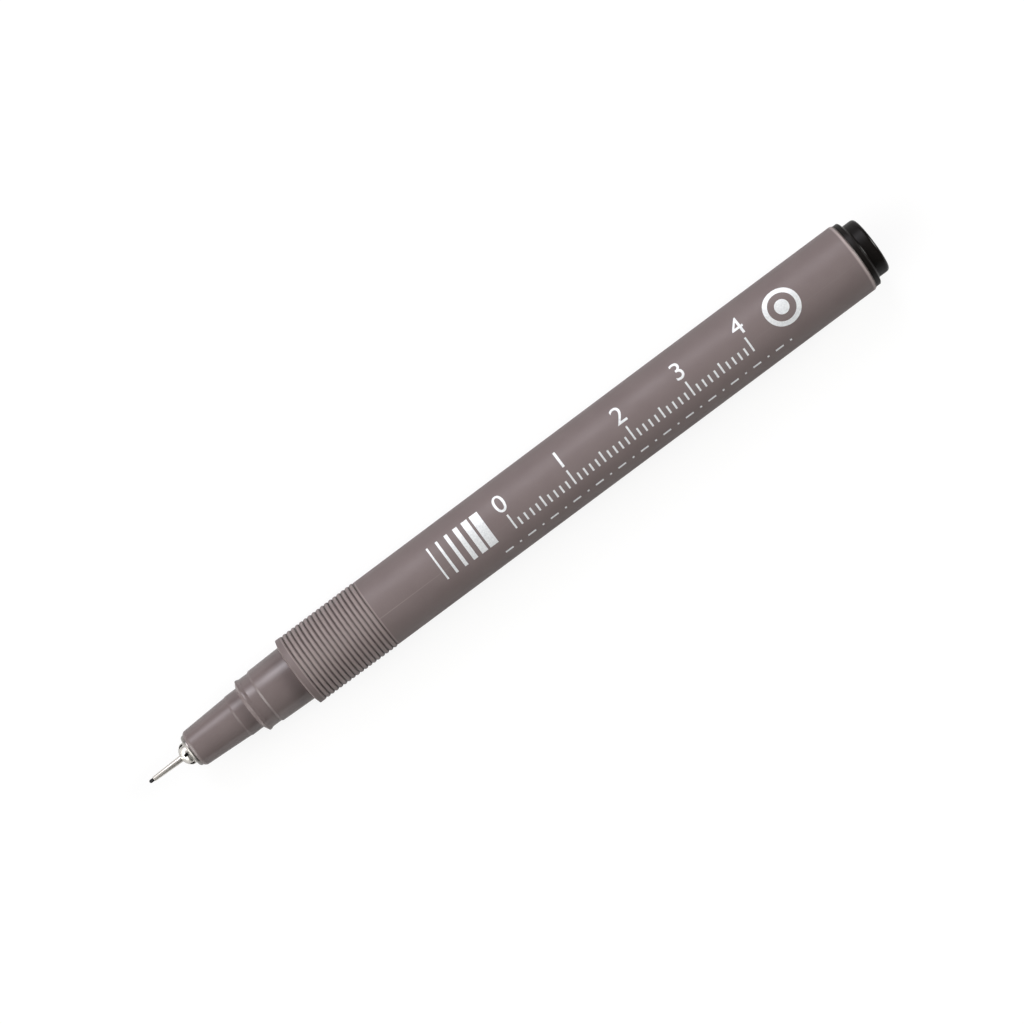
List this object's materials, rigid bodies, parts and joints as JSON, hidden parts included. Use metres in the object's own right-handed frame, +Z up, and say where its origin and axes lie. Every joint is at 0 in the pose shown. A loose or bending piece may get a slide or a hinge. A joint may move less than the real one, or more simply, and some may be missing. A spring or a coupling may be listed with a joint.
{
  "type": "fineliner pen",
  "caption": "Uncapped technical fineliner: round barrel with finger ribs, stepped nose holding a steel-clad fibre point, and a tail plug with a post for parking the cap.",
  "frame": {"origin": "on the surface that the pen lies on, under the middle of its length", "axes": "+X along the pen from the writing point to the tail, +Y across it, +Z up"},
  "size_m": [0.1228, 0.0106, 0.0106],
  "materials": {
    "taupe_plastic": "satin moulded",
    "black_plastic": "gloss moulded",
    "collar_metal": "polished",
    "tube_steel": "drawn",
    "point_fibre": "ink-soaked fibre",
    "wick_fibre": "ink-soaked fibre",
    "reservoir_fibre": "ink-soaked bonded fibre",
    "wrap_film": "clear film over ink",
    "print_foil": "white foil print"
  },
  "bodies": {
    "barrel_unit": {"barrel": "taupe_plastic", "ink_reservoir": "reservoir_fibre", "reservoir_wrap": "wrap_film"},
    "tip_unit": {"nose_section": "taupe_plastic", "tip_collar": "collar_metal", "tip_tube": "tube_steel", "nib_core": "point_fibre", "relay_wick": "wick_fibre"},
    "plug_unit": {"tail_plug": "black_plastic"}
  },
  "joints": [
    {"name": "tip_pull", "type": "slide", "parent": "barrel_unit", "child": "tip_unit", "axis": [-1, 0, 0], "range_m": [0, 0.022]},
    {"name": "plug_pull", "type": "slide", "parent": "barrel_unit", "child": "plug_unit", "axis": [1, 0, 0], "range_m": [0, 0.016]}
  ]
}
